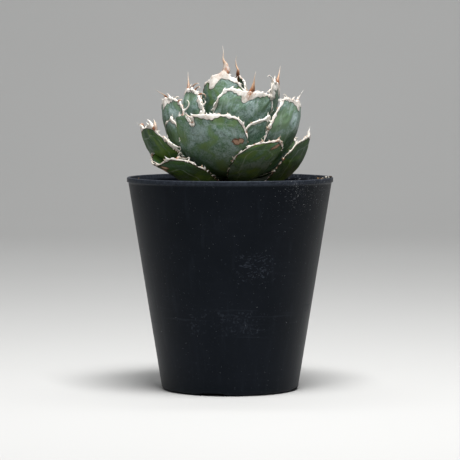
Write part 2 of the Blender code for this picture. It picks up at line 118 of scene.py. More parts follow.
# How a leaf differs from the plain rule. patch: half width and depth of the pale wedge under the
# tip, and its shift sideways; brown: the stain round the spine; wide: the spine's foot; wander: the
# spine's sideways sway from foot to point; left, right: share of each half's width; taper: drop of
# the left and the right shoulder; peak: rise of the edge into the spine; fold: a pleat at x, its
# notch's depth and width and the pleat's own depth; teeth: their size; margin: the width of the
# pale edge; bare: how near to the tip it starts, from 0 at the leaf's foot to 1.
HABIT = dict(
    patch=(2.6, 3.4, 0.0),
    brown=0.6,
    wide=1.7,
    wander=(0.0, 0.2, -0.2, 0.2, 0.0),
    left=1.0,
    right=1.0,
    taper=(1.2, 1.2),
    peak=2.2,
    fold=None,
    teeth=1.0,
    margin=1.0,
    bare=0.0,
)
Habit = namedtuple("Habit", HABIT)
HABITS = {
    "leaf_bud_front": dict(
        patch=(4.6, 6.2, -3.4), brown=0.5, wide=3.3, wander=(1.2, 0.9, -0.6, -0.4, -0.9), left=1.14,
        taper=(7.0, 9.0), peak=1.5, margin=0.45,
    ),
    "leaf_bud_back": dict(
        brown=0.95, wide=1.4, wander=(0.0, -0.3, 0.9, 1.2, 0.4), taper=(4.0, 4.0), margin=0.6,
    ),
    "leaf_bud_left": dict(taper=(4.0, 4.0)),
    "leaf_upper_right": dict(
        patch=(4.0, 4.6, -1.4), brown=1.0, wide=2.3, wander=(0.0, 0.3, 0.5, 0.5, 0.9), left=0.96,
        taper=(-7.0, -1.0), peak=1.2,
    ),
    "leaf_upper_far_right": dict(
        patch=(7.5, 4.2, -1.5), brown=0.95, wide=3.4, wander=(0.0, -0.4, -0.6, 0.2, 1.6), left=1.5,
        taper=(-5.0, 0.0), peak=1.4, teeth=1.8, margin=2.1,
    ),
    "leaf_right": dict(
        patch=(3.2, 3.6, 0.0), brown=0.3, wide=1.9, wander=(0.0, 0.3, 0.5, -0.3, 0.5), left=1.12,
        taper=(-9.0, -2.0), peak=2.6,
    ),
    "leaf_left": dict(
        patch=(4.2, 5.2, -0.6), brown=0.75, wide=1.8, wander=(0.0, 0.4, -0.2, -0.9, -0.3),
        taper=(0.0, -3.0), peak=1.0, teeth=1.2, margin=0.85,
    ),
    "leaf_upper_left": dict(
        patch=(3.4, 3.4, 0.0), brown=0.6, wide=2.8, wander=(0.0, 0.3, 0.3, -0.4, -0.8), right=1.5,
        taper=(0.0, -4.0), teeth=1.3,
    ),
    "leaf_front": dict(
        patch=(3.2, 1.6, 3.0), brown=0.2, wander=(-0.4, 0.4, -0.5, 0.4, 0.0), left=0.97, right=1.05,
        taper=(-3.4, -3.4), peak=0.8, fold=(-8.2, 6.0, 1.1, 1.5), teeth=0.8, margin=0.85, bare=0.60,
    ),
    "leaf_front_right": dict(
        patch=(2.0, 0.8, 0.0), brown=0.9, wide=1.3, left=1.05, taper=(-2.4, 2.4), margin=0.5,
        bare=0.80,
    ),
    "leaf_right_outer": dict(
        patch=(2.4, 2.2, 0.0), brown=0.1, wide=1.5, wander=(0.0, -0.3, -0.1, 0.5, 0.6), left=1.2,
        taper=(-1.0, -1.0), peak=3.0, margin=0.8, bare=0.72,
    ),
    "leaf_left_outer": dict(
        patch=(1.6, 1.2, 0.0), brown=0.1, wide=1.3, right=2.0, taper=(-2.0, -9.0), peak=2.6,
        teeth=2.1, margin=0.5, bare=0.62,
    ),
    "leaf_low_left": dict(
        patch=(1.6, 1.0, 0.0), brown=0.3, wide=1.4, left=1.35, taper=(-2.5, -5.0), peak=2.4,
        margin=0.5, bare=0.80,
    ),
    "leaf_low_front_left": dict(patch=(1.2, 0.4, 0.0), brown=0.1, wide=0.8, teeth=1.2, margin=0.3),
    "leaf_mid_front_left": dict(
        patch=(2.0, 0.6, 1.0), brown=0.0, wide=0.7, left=1.5, taper=(0.0, 2.0), teeth=0.6,
        margin=0.8,
    ),
    "leaf_mid_front_right": dict(
        patch=(4.0, 2.8, 5.0), brown=0.0, wide=0.8, taper=(0.5, 9.0), teeth=0.7,
    ),
}


def keep(work, name):
    """Turns a bmesh into a mesh, and lets the bmesh go."""
    mesh = bpy.data.meshes.new(name)
    work.to_mesh(mesh)
    work.free()
    return mesh


def show(mesh, *finishes):
    """Puts a mesh in the scene, with its finishes, as an object at the origin."""
    for finish in finishes:
        mesh.materials.append(finish)
    thing = bpy.data.objects.new(mesh.name, mesh)
    bpy.context.scene.collection.objects.link(thing)
    return thing


def round_over(mesh):
    for face in mesh.polygons:
        face.use_smooth = True


def points_of(mesh):
    points = np.empty(len(mesh.vertices) * 3)
    mesh.vertices.foreach_get("co", points)
    return points.reshape(-1, 3)


def only(made, kind):
    return [item for item in made["geom"] if isinstance(item, kind)]


def unit(value):
    return np.clip(value, 0.0, 1.0)


def smooth(low, high, value):
    t = unit((value - low) / (high - low))
    return t * t * (3.0 - 2.0 * t)


# ---------------- node helpers


class Finish:
    """A procedural finish being mixed. `add` makes a node, and a value that is a socket is linked."""

    def __init__(self, name):
        self.material = bpy.data.materials.new(name)
        self.material.use_nodes = True
        self.tree = self.material.node_tree
        self.skin = self.tree.nodes["Principled BSDF"]

    def add(self, kind, out=0, inputs=(), **settings):
        made = self.tree.nodes.new("ShaderNode" + kind)
        for key, value in settings.items():
            setattr(made, key, value)
        for key, value in dict(inputs).items():
            self.give(made.inputs[key], value)
        return made.outputs[out]

    def give(self, socket, value):
        if isinstance(value, bpy.types.NodeSocket):
            self.tree.links.new(value, socket)
        else:
            socket.default_value = value

    def place(self, scale=(1.0, 1.0, 1.0)):
        coords = self.add("TexCoord", out="Object")
        return self.add("Mapping", inputs={"Vector": coords, "Scale": scale})

    def laid(self, scale=(1.0, 1.0, 1.0)):
        coords = self.add("UVMap", uv_map="laid")
        return self.add("Mapping", inputs={"Vector": coords, "Scale": scale})

    def trait(self, name):
        return self.add("Attribute", out="Fac", attribute_name=name)

    def grain(self, where, scale, detail=4.0, rough=0.55, seed=None, warp=0.0):
        inputs = {"Vector": where, "Scale": scale, "Detail": detail, "Roughness": rough}
        inputs["Distortion"] = warp
        if seed is None:
            return self.add("TexNoise", inputs=inputs)
        inputs["W"] = seed
        return self.add("TexNoise", noise_dimensions="4D", inputs=inputs)

    def times(self, a, b):
        return self.add("Math", operation="MULTIPLY", inputs={0: a, 1: b})

    def plus(self, a, b, clamp=False):
        return self.add("Math", operation="ADD", use_clamp=clamp, inputs={0: a, 1: b})

    def scaled(self, a, factor, more):
        return self.add("Math", operation="MULTIPLY_ADD", inputs={0: a, 1: factor, 2: more})

    def between(self, value, low, high, start=0.0, end=1.0):
        inputs = {"Value": value, "From Min": low, "From Max": high, "To Min": start, "To Max": end}
        return self.add("MapRange", interpolation_type="SMOOTHSTEP", inputs=inputs)

    def mix(self, share, first, second):
        first = first if isinstance(first, bpy.types.NodeSocket) else (*first, 1.0)
        second = second if isinstance(second, bpy.types.NodeSocket) else (*second, 1.0)
        made = self.tree.nodes.new("ShaderNodeMix")
        made.data_type = "RGBA"
        self.give(made.inputs[0], share)
        self.give(made.inputs[6], first)
        self.give(made.inputs[7], second)
        return made.outputs[2]

    def fade(self, value, low, high, first, second):
        return self.mix(self.between(value, low, high), first, second)

    def bump(self, height, strength, distance, under=None):
        inputs = {"Height": height, "Strength": strength, "Distance": distance}
        if under is not None:
            inputs["Normal"] = under
        return self.add("Bump", inputs=inputs)

    def set(self, **sockets):
        for name, value in sockets.items():
            self.give(self.skin.inputs[name.replace("_", " ")], value)


# ---------------- leaf finishes


def leaf_finish():
    """Waxy skin with bloom and the prints of older leaves, and the horny edge where `horn` is over 0."""
    f = Finish("agave_leaf")
    youth, along, horn, seed = f.trait("youth"), f.trait("along"), f.trait("horn"), f.trait("seed")
    inset = f.trait("inset")
    flat = f.laid()
    cloud = f.grain(flat, 0.95, 3.0, 0.5, seed, 0.9)
    mottle = f.grain(flat, 3.0, 5.0, 0.62, seed, 0.9)
    speck = f.grain(flat, 13.0, 4.0, 0.7, seed)
    streak = f.grain(f.laid((2.6, 0.55, 1.0)), 1.3, 4.0, 0.6, seed, 0.5)
    rub = f.grain(f.laid((1.6, 0.8, 1.0)), 2.0, 6.0, 0.72, seed, 1.6)
    old_green = f.fade(cloud, 0.35, 0.65, (0.016, 0.050, 0.006), (0.055, 0.130, 0.012))
    young_green = f.fade(cloud, 0.35, 0.65, (0.105, 0.205, 0.140), (0.200, 0.310, 0.200))
    green = f.mix(youth, old_green, young_green)
    bloom = f.mix(youth, (0.062, 0.112, 0.066), (0.510, 0.640, 0.630))
    layers = f.scaled(cloud, 0.95, f.times(mottle, 0.75))
    layers = f.scaled(speck, 0.55, layers)
    layers = f.scaled(rub, 0.35, layers)
    powder = f.times(f.between(layers, 1.40, 1.06), f.between(along, 0.10, 0.70, 0.15, 1.0))
    colour = f.mix(powder, green, bloom)
    bright = f.times(f.between(streak, 0.52, 0.70, 0.0, 0.55), f.between(youth, 0.3, 1.0, 0.15, 1.0))
    bright = f.times(bright, f.between(speck, 0.35, 0.60, 0.4, 1.0))
    bright = f.times(bright, f.between(along, 0.30, 0.75))
    colour = f.mix(bright, colour, f.mix(youth, (0.200, 0.270, 0.225), (0.620, 0.730, 0.720)))
    shaded = f.times(f.between(mottle, 0.47, 0.35), f.between(rub, 0.52, 0.42, 0.25, 0.75))
    colour = f.mix(shaded, colour, f.mix(youth, (0.014, 0.034, 0.008), (0.050, 0.110, 0.075)))
    foot = f.fade(mottle, 0.4, 0.6, (0.050, 0.125, 0.008), (0.120, 0.230, 0.022))
    colour = f.mix(f.between(along, 0.40, 0.06, 0.0, 0.80), colour, foot)
    yellow = f.times(f.between(cloud, 0.50, 0.68), f.between(youth, 1.0, 0.3, 0.1, 0.65))
    colour = f.mix(yellow, colour, (0.120, 0.185, 0.030))
    printed = f.plus(inset, f.scaled(cloud, 5.0, -2.5))
    print_line = f.times(f.between(printed, 4.6, 5.0), f.between(printed, 5.7, 5.2))
    print_line = f.times(print_line, f.between(rub, 0.40, 0.55, 0.0, 0.28))
    colour = f.mix(print_line, colour, (0.36, 0.42, 0.37))
    freckle = f.grain(flat, 18.0, 3.0, 0.6, seed)
    aged = f.times(f.between(freckle, 0.64, 0.72), f.between(youth, 0.7, 0.0, 0.0, 0.6))
    colour = f.mix(aged, colour, (0.100, 0.065, 0.035))
    ragged = f.scaled(f.grain(flat, 7.0, 5.0, 0.7, seed, 0.8), 1.10, -0.55)
    scar = f.plus(f.trait("scar"), f.times(ragged, 1.6))
    cork = f.mix(speck, (0.34, 0.17, 0.10), (0.64, 0.44, 0.31))
    cork = f.fade(scar, 0.50, 0.85, (0.095, 0.028, 0.014), cork)
    scarred = f.times(f.between(scar, 0.42, 0.50), f.between(f.trait("scar"), 0.02, 0.15))
    colour = f.mix(scarred, colour, cork)

    edge = f.plus(horn, f.times(ragged, 0.55))
    line = f.times(f.between(edge, -0.62, -0.16), f.between(youth, 0.0, 1.0, 0.95, 0.80))
    colour = f.mix(line, colour, f.mix(youth, (0.030, 0.016, 0.009), (0.028, 0.034, 0.020)))
    horny = f.fade(mottle, 0.35, 0.62, (0.66, 0.59, 0.51), (0.88, 0.84, 0.78))
    horny = f.mix(f.between(youth, 0.45, 0.0, 0.0, 0.55), horny, (0.50, 0.46, 0.39))
    stain = f.times(f.between(f.grain(flat, 5.0, 5.0, 0.7, seed, 1.2), 0.56, 0.70), 0.70)
    horny = f.mix(stain, horny, (0.52, 0.36, 0.26))
    horny = f.mix(f.between(speck, 0.62, 0.72, 0.0, 0.5), horny, (0.36, 0.24, 0.17))
    tipward = f.times(f.trait("tipward"), f.between(rub, 0.42, 0.58))
    horny = f.mix(tipward, horny, f.mix(speck, (0.22, 0.075, 0.03), (0.52, 0.26, 0.13)))
    is_horn = f.between(edge, -0.06, 0.06)
    colour = f.mix(is_horn, colour, horny)
    rough = f.scaled(mottle, 0.20, 0.44)
    uneven = f.plus(f.times(rub, 0.7), f.times(mottle, 0.7))
    relief = f.bump(uneven, 0.35, 0.0008)
    relief = f.bump(speck, 0.18, 0.0002, relief)
    f.set(Base_Color=colour, Roughness=rough, Normal=relief, Specular_IOR_Level=0.22)
    return f.material


def horn_finish():
    """Teeth and spines: chalky white horn, brown at a spine's foot, then tan, then grey-white."""
    f = Finish("agave_horn")
    reach, brown, seed = f.trait("reach"), f.trait("brown"), f.trait("seed")
    fibre = f.grain(f.place((1.0, 1.0, 0.22)), 1100.0, 4.0, 0.6, seed)
    smudge = f.grain(f.place(), 380.0, 4.0, 0.65, seed)
    white = f.fade(fibre, 0.35, 0.65, (0.66, 0.60, 0.52), (0.90, 0.86, 0.80))
    white = f.mix(f.between(smudge, 0.55, 0.70, 0.0, 0.5), white, (0.46, 0.32, 0.23))
    tan_horn = f.mix(fibre, (0.40, 0.21, 0.11), (0.74, 0.54, 0.38))
    dark = f.fade(fibre, 0.35, 0.65, (0.115, 0.036, 0.014), (0.36, 0.135, 0.050))
    shade = f.fade(reach, 0.25, 0.60, dark, tan_horn)
    shade = f.fade(reach, 0.60, 0.95, shade, (0.74, 0.66, 0.56))
    share = f.plus(brown, f.scaled(f.plus(smudge, fibre), 0.9, -0.90))
    share = f.times(f.between(share, 0.20, 0.70), f.between(brown, 0.0, 0.15))
    colour = f.mix(share, white, shade)
    point = f.times(f.between(reach, 0.72, 1.0), f.between(smudge, 0.45, 0.60, 0.0, 0.6))
    colour = f.mix(point, colour, (0.24, 0.15, 0.10))
    relief = f.bump(fibre, 0.35, 0.0003)
    f.set(Base_Color=colour, Roughness=0.42, Normal=relief, Specular_IOR_Level=0.45)
    f.set(Subsurface_Weight=0.12, Subsurface_Radius=(0.6, 0.4, 0.25), Subsurface_Scale=0.0012)
    return f.material


# ---------------- leaf shape

NARROW = 9.0  # half width, in millimetres, up to which a leaf has the coarser grid
BROAD_GRID = (64, 72)
NARROW_GRID = (40, 52)


class Blade:
    """The rule one leaf follows, in millimetres: x runs across the flat blade, s along its midrib."""

    def __init__(self, leaf, rank):
        self.leaf = leaf
        self.habit = Habit(**{**HABIT, **HABITS.get(leaf.name, {})})
        self.age = rank / LAST
        self.youth = float(smooth(0.12, 0.62, self.age) - 0.5 * smooth(0.80, 0.88, self.age))
        slope = FOOT_SLOPES[0] + (FOOT_SLOPES[1] - FOOT_SLOPES[0]) * self.age**3
        self.slope = radians(slope)
        self.foot_z = STEM_FOOT + LEAF_RISE * rank
        stem = STEM_RADII[0] + (STEM_RADII[1] - STEM_RADII[0]) * self.age
        self.foot_r = stem + FOOT_GAP + BLADE_FOOT * max(sin(self.slope), 0.0)
        rise = MIX_TOP + leaf.height - self.foot_z
        run = leaf.radius - self.foot_r
        half_turn = atan2(rise, run) - self.slope
        self.length = hypot(rise, run) * half_turn / sin(half_turn)
        self.bend = 2.0 * half_turn / self.length
        self.corner_s = self.length * (WIDEST + (1.0 - WIDEST) * 0.50)
        self.corner_x = float(self.half_width(np.array([self.corner_s]))[0])
        self.dice = random.Random(rank * 7 + 3)

    def half_width(self, s):
        v = unit(s / self.length)
        half = self.leaf.half
        foot = min(FOOT_WIDE, 0.5 * half)
        rising = foot + (half - foot) * np.sin(0.5 * pi * unit(v / WIDEST)) ** 1.35
        fall = unit((v - WIDEST) / (1.0 - WIDEST)) ** 4
        falling = half * np.sqrt(unit(1.0 - fall))
        return np.where(v < WIDEST, rising, falling)

    def top_edge(self, x):
        """How far along the blade its outline is at x, above the widest place."""
        share = unit(1.0 - (x / self.leaf.half) ** 2) ** 0.25
        return self.length * (WIDEST + (1.0 - WIDEST) * share)

    def form(self, x, s):
        """Turns the even outline into this leaf's own."""
        habit = self.habit
        v = unit(s / self.length)
        taper = np.where(x < 0.0, *habit.taper)
        s = s - taper * (np.abs(x) / self.leaf.half) ** 1.4 * v**4
        s = s + habit.peak * np.exp(-np.abs(x) / 2.2) * v**24
        if habit.fold:
            at, deep, wide, _ = habit.fold
            s = s - deep * np.exp(-(((x - at) / wide) ** 2)) * v**14
        kept = np.where(x < 0.0, habit.left, habit.right)
        return x * (1.0 - (1.0 - kept) * smooth(0.1, 0.8, v)), s

    def lay(self, x, s, depth):
        """Places flat-blade points in the plant, `depth` in from the outer face."""
        leaf = self.leaf
        along = np.minimum(s, self.length)
        slope = self.slope + self.bend * along
        past = np.maximum(s - self.length, 0.0)
        r = self.foot_r + (np.sin(slope) - sin(self.slope)) / self.bend + past * np.cos(slope)
        z = self.foot_z - (np.cos(slope) - cos(self.slope)) / self.bend + past * np.sin(slope)
        twist = leaf.twist * unit(s / self.length) ** 6
        angle = np.radians(leaf.azimuth + twist) + x / np.maximum(r, 7.0)
        across = (x / leaf.half) ** 2
        curled = EDGE_CURL * (1.0 - self.age) ** 1.5 * unit(np.cos(slope))
        inward = depth + curled * across
        r = r - inward * np.sin(slope)
        z = z + inward * np.cos(slope) + leaf.lift * across
        return np.stack([r * np.sin(angle), -r * np.cos(angle), z], -1)

    def thickness(self, x, s, from_edge):
        swell = np.sin(pi * unit(1.05 * s / self.length)) ** 0.8
        gain = THICK_PER_WIDTH * self.leaf.half - 0.1
        full = BLADE_FOOT + gain * unit(swell)
        full = full * (1.0 - 0.55 * np.clip(x / self.leaf.half, -1.0, 1.0) ** 2)
        return np.minimum(full, EDGE_THICK + 0.5 * from_edge)

    def spot(self, place, depth):
        return Vector(self.lay(place[0], place[1], depth))

    def outline(self, count=480):
        """The blade's edge, from the foot up the left side, over the tip and down the right."""
        rise = np.linspace(0.0, 1.0, count // 3)
        s = self.corner_s * rise
        side = np.stack([self.half_width(s), s], -1)
        x = self.corner_x * np.cos(np.linspace(0.0, pi, count // 3))
        top = np.stack([x, self.top_edge(x)], -1)[1:-1]
        left = side * (-1.0, 1.0)
        edge = np.concatenate([left, top[::-1], side[::-1]])
        return np.stack(self.form(edge[:, 0], edge[:, 1]), -1)


def plan_teeth(blade, total):
    """Where teeth stand along the edge: (distance along it, size, hook, curl)."""
    dice = blade.dice
    small = min(1.0, blade.leaf.half / 14.0) * blade.habit.teeth
    teeth = []
    middle = 0.5 * total
    at = 0.12 * total + dice.uniform(0.0, 2.0)
    while at < 0.88 * total:
        off = abs(at - middle)
        high = 1.0 - off / middle
        grade = dice.choice((0.5, 0.8, 1.0, 1.3, 1.6))
        size = small * (0.50 + 0.65 * high) * grade * dice.uniform(0.85, 1.15)
        if off > 3.6:
            hook = (1.0 if at < middle else -1.0) * dice.choice((-1.3, -0.9, -0.4, 0.3, 0.9, 1.4))
            teeth.append((at, size, hook, dice.uniform(-1.0, 1.0)))
        at += dice.uniform(1.4, 4.4) * (0.70 + 0.35 * high)
    return teeth


def make_leaf(leaf, rank, finishes):
    blade = Blade(leaf, rank)
    habit = blade.habit
    across, up = BROAD_GRID if leaf.half > NARROW else NARROW_GRID
    work = bmesh.new()
    bmesh.ops.create_grid(work, x_segments=across, y_segments=up, size=1.0)
    lifted = bmesh.ops.extrude_face_region(work, geom=work.faces[:], use_keep_orig=True)
    bmesh.ops.translate(work, verts=only(lifted, bmesh.types.BMVert), vec=(0.0, 0.0, 1.0))
    mesh = keep(work, leaf.name + "_grown")

    flat = points_of(mesh)
    c = np.sign(flat[:, 0]) * (1.0 - (1.0 - np.abs(flat[:, 0])) ** 1.25)
    q = (flat[:, 1] + 1.0) * 0.5
    q = 1.0 - (1.0 - q) ** 1.3
    inner_face = flat[:, 2] > 0.5
    side_s = blade.corner_s * q
    x = c * blade.half_width(side_s)
    s = side_s + q**4 * (blade.top_edge(c * blade.corner_x) - blade.corner_s)
    x, s = blade.form(x, s)

    edge = blade.outline()
    run = np.concatenate([[0.0], np.cumsum(np.hypot(*np.diff(edge, axis=0).T))])
    total = run[-1]
    gap = np.hypot(x[:, None] - edge[None, :, 0], s[:, None] - edge[None, :, 1])
    nearest = gap.argmin(axis=1)
    from_edge = gap.min(axis=1)
    from_edge = np.where((np.abs(flat[:, 0]) > 0.999) | (flat[:, 1] > 0.999), 0.0, from_edge)
    heading = np.gradient(edge, axis=0)
    heading /= np.maximum(np.hypot(heading[:, 0], heading[:, 1]), 1e-6)[:, None]
    outward = np.stack([-heading[:, 1], heading[:, 0]], -1)

    teeth = plan_teeth(blade, total)
    at = run[nearest]
    bumps = np.zeros(len(x))
    for where, size, hook, curl in teeth:
        bumps += size * np.exp(-(((at - where - 0.3 * hook) / (0.55 + 0.35 * size)) ** 2))
    phase = blade.dice.uniform(0.0, 10.0)
    wave = 0.5 + 0.28 * np.sin(at * 0.83 + phase) + 0.22 * np.sin(at * 2.1 + 2.3 * phase)
    high = 1.0 - np.abs(at - 0.5 * total) / (0.5 * total)
    push = (0.45 * bumps + 0.45 * (wave - 0.5)) * np.exp(-from_edge / 1.4) * smooth(0.10, 0.30, high)
    x = x + outward[nearest, 0] * push
    s = s + outward[nearest, 1] * push

    ribbon = 0.08 + 0.22 * smooth(0.30, 0.50, high)
    ribbon = ribbon + (0.85 + 0.25 * blade.youth) * smooth(0.50, 0.78, high)
    ribbon = ribbon - 0.75 * (1.0 - smooth(habit.bare - 0.08, habit.bare + 0.08, high))
    if habit.fold:
        bare = edge[nearest, 0] < habit.fold[0] - 1.2
        ribbon = np.where(bare, -0.8, ribbon)
        bumps = np.where(bare, 0.0, bumps)
    margin = habit.margin * ribbon * (0.45 + 1.0 * wave) + 0.40 * bumps * smooth(0.2, 0.6, high)
    margin = np.maximum(margin, -0.12)
    wedge_x, wedge_s, shift = habit.patch
    off_centre = np.abs(x - shift * smooth(0.0, 6.0, from_edge) - 0.35 * shift) / wedge_x
    wedge = wedge_s * np.exp(-(off_centre**1.6)) * smooth(0.45, 0.75, high)
    horn = np.where(inner_face, 0.6 * margin - from_edge, margin + wedge - from_edge)

    thick = blade.thickness(x, s, from_edge)
    proud = 0.13 * smooth(-0.05, 0.35, horn)
    half = 0.5 * np.minimum(thick, 0.9)
    short = 1.0 - unit(from_edge / 0.5)
    rounding = half * (1.0 - np.sqrt(unit(1.0 - short**2)))
    standing = proud * smooth(0.0, 0.5, from_edge)
    depth = np.where(inner_face, thick - rounding + standing, rounding - standing)
    keel = 0.45 * np.exp(-((x / 2.6) ** 2)) * smooth(0.35, 0.95, s / blade.length)
    places = [Vector((a * 0.085, b * 0.075, rank * 3.7)) for a, b in zip(x, s)]
    swell = np.array([noise.fractal(place, 0.6, 2.1, 3) for place in places])
    ripple = 0.35 * np.sin(at * 0.75 + 1.7 * phase) * np.exp(-from_edge / 2.0) * smooth(0.2, 0.5, high)
    depth = depth - keel + 0.55 * swell * smooth(0.0, 4.0, from_edge) + ripple
    if habit.fold:
        at_x, _, _, pleat = habit.fold
        depth = depth + pleat * np.exp(-np.abs(x - at_x) / 1.6) * smooth(0.35, 0.95, s / blade.length)
    placed = blade.lay(x, s, depth) * MM
    mesh.vertices.foreach_set("co", placed.ravel())

    scar = np.zeros(len(x))
    for spot_x, spot_s, spot_size in SCARS.get(leaf.name, ()):
        near = np.hypot(x - spot_x, s - spot_s * blade.length) / spot_size
        scar = np.maximum(scar, unit(1.3 - near) * ~inner_face)
    from_tip = np.hypot(x - 0.35 * shift, blade.length - s)
    give_traits(
        mesh, horn=horn, inset=from_edge, along=unit(s / blade.length), scar=scar,
        tipward=unit(1.3 - from_tip / 3.2) * habit.brown,
    )
    lay_flat(mesh, np.stack([x * 0.1, s * 0.1], -1))

    spikes = bmesh.new()
    for name in SPIKE_TRAITS:
        spikes.verts.layers.float.new(name)
    for where, size, hook, curl in teeth:
        k = int(np.argmin(np.abs(run - where)))
        grow_tooth(spikes, blade, edge_axes(blade, edge[k], outward[k], heading[k]), size, hook, curl)
    for curl in CURLS.get(leaf.name, ()):
        k = int(np.argmin(np.abs(run - curl.at * total)))
        grow_curl(spikes, edge_axes(blade, edge[k], outward[k], heading[k]), curl)
    grow_spine(spikes, blade)
    bmesh.ops.recalc_face_normals(spikes, faces=spikes.faces)
    finish_leaf(leaf, rank, mesh, keep(spikes, leaf.name + "_spikes"), finishes, blade.youth)


def give_traits(mesh, **traits):
    """Stores each trait at the mesh's points, from one number or a number for each."""
    for name, values in traits.items():
        layer = mesh.attributes.get(name) or mesh.attributes.new(name, "FLOAT", "POINT")
        layer.data.foreach_set("value", np.full(len(mesh.vertices), values, dtype=np.float32))


def lay_flat(mesh, flat):
    """Stores the flat-blade position, in centimetres, as the UV map that the finishes follow."""
    layer = mesh.uv_layers.new(name="laid")
    corners = np.empty(len(mesh.loops), dtype=np.int32)
    mesh.loops.foreach_get("vertex_index", corners)
    layer.data.foreach_set("uv", flat[corners].astype(np.float32).ravel())


def finish_leaf(leaf, rank, mesh, spike_mesh, finishes, youth):
    """Joins blade, teeth and spine in one object, with one finish each."""
    spike_mesh.uv_layers.new(name="laid")
    give_traits(spike_mesh, **dict.fromkeys(BLADE_TRAITS, 0.0))
    give_traits(mesh, **dict.fromkeys(SPIKE_TRAITS, 0.0))
    work = bmesh.new()
    work.from_mesh(mesh)
    blade_faces = len(work.faces)
    bmesh.ops.recalc_face_normals(work, faces=work.faces)
    work.from_mesh(spike_mesh)
    work.faces.ensure_lookup_table()
    for face in work.faces:
        face.smooth = True
        face.material_index = 0 if face.index < blade_faces else 1
    work.to_mesh(mesh)
    work.free()
    give_traits(mesh, youth=youth, seed=0.37 * rank)
    bpy.data.meshes.remove(spike_mesh)
    thing = show(mesh, *finishes)
    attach(thing, "root")
    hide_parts(leaf.name)


BLADE_TRAITS = ("horn", "inset", "along", "scar", "tipward")
SPIKE_TRAITS = ("reach", "brown")

# Scars on the outer face: (millimetres right of the midrib, share of the length, size).
SCARS = {
    "leaf_front": ((13.4, 0.74, 2.3), (16.0, 0.75, 1.8)),
    "leaf_low_left": ((-0.5, 0.95, 2.0), (3.0, 0.97, 1.5)),
    "leaf_front_right": ((2.5, 0.95, 2.8),),
}

# Long curled teeth, in millimetres. at: share of the way round the edge; side, off: the way it
# curls, along the edge and off the face; turns: how far round; brown: its stain.
Curl = namedtuple("Curl", "at length wide side off turns brown")
CURLS = {
    "leaf_upper_far_right": (
        Curl(0.425, 9.0, 0.62, -1.0, 0.1, 0.30, 0.10), Curl(0.385, 7.0, 0.42, -1.0, 0.2, 0.95, 0.25),
        Curl(0.455, 4.0, 0.50, 0.6, 0.5, 0.45, 0.45), Curl(0.340, 4.5, 0.40, -0.4, 0.8, 0.60, 0.20),
    ),
    "leaf_upper_left": (
        Curl(0.545, 7.5, 0.40, 1.0, 0.2, 0.33, 0.90), Curl(0.580, 6.5, 0.36, 1.0, -0.2, 0.42, 0.80),
        Curl(0.620, 7.5, 0.42, 0.8, 0.5, 0.75, 0.55), Curl(0.665, 5.0, 0.42, -0.5, 0.6, 0.50, 0.25),
    ),
    "leaf_left": (
        Curl(0.575, 3.6, 0.40, 0.8, 0.3, 0.40, 0.30), Curl(0.640, 8.5, 0.48, -1.0, 0.4, 0.52, 0.10),
        Curl(0.685, 5.5, 0.46, -0.6, 0.7, 0.60, 0.35), Curl(0.720, 4.0, 0.40, 0.6, 0.6, 0.45, 0.30),
    ),
    "leaf_front": (
        Curl(0.465, 4.4, 0.70, 0.5, -0.1, 0.16, 0.35), Curl(0.395, 3.2, 0.42, 0.3, 0.4, 0.15, 0.40),
    ),
    "leaf_right": (
        Curl(0.430, 4.0, 0.45, -0.8, 0.2, 0.35, 0.10), Curl(0.400, 3.4, 0.42, -0.5, 0.4, 0.50, 0.15),
    ),
    "leaf_left_outer": (
        Curl(0.575, 4.0, 0.42, 0.7, 0.3, 0.30, 0.05), Curl(0.640, 3.8, 0.40, -0.8, 0.3, 0.35, 0.10),
        Curl(0.700, 4.2, 0.40, -0.9, 0.4, 0.45, 0.05),
    ),
    "leaf_low_front_left": (
        Curl(0.420, 3.6, 0.40, -0.8, 0.4, 0.55, 0.45), Curl(0.560, 4.0, 0.40, 0.7, 0.4, 0.60, 0.30),
        Curl(0.500, 3.0, 0.38, 0.3, 0.6, 0.40, 0.20),
    ),
    "leaf_mid_front_right": (
        Curl(0.640, 4.4, 0.60, 0.9, 0.4, 0.42, 0.05), Curl(0.720, 3.4, 0.46, 0.8, 0.5, 0.50, 0.10),
    ),
    "leaf_low_left": (
        Curl(0.655, 3.0, 0.40, -0.5, 0.3, 0.25, 0.05),
    ),
}


def grow_horn(work, rings, tint, sides):
    """Extrudes a face through rings of (centre, across, normal, half width, half thickness)."""
    reach, brown = [work.verts.layers.float[name] for name in SPIKE_TRAITS]
    base = bmesh.ops.create_circle(work, cap_ends=True, segments=sides, radius=1.0)
    face = base["verts"][0].link_faces[0]
    for i, (centre, across, normal, wide, thin) in enumerate(rings):
        if i == 1:
            made = bmesh.ops.extrude_face_region(work, geom=[face], use_keep_orig=True)
            face = only(made, bmesh.types.BMFace)[0]
        elif i > 1:
            face = bmesh.ops.extrude_discrete_faces(work, faces=[face])["faces"][0]
        for k, vert in enumerate(face.verts):
            angle = 2.0 * pi * k / sides
            vert.co = centre * MM + across * (wide * MM * cos(angle)) + normal * (thin * MM * sin(angle))
            vert[reach] = i / (len(rings) - 1)
            vert[brown] = tint


def edge_axes(blade, point, outward, heading):
    """At a place on the edge: the point, and unit vectors outward, along the edge and off the face."""
    here = blade.spot(point, EDGE_MIDDLE)
    out = (blade.spot(point + 0.4 * outward, EDGE_MIDDLE) - here).normalized()
    along = blade.spot(point + 0.4 * heading, EDGE_MIDDLE) - here
    along = (along - out * along.dot(out)).normalized()
    return here, out, along, out.cross(along)


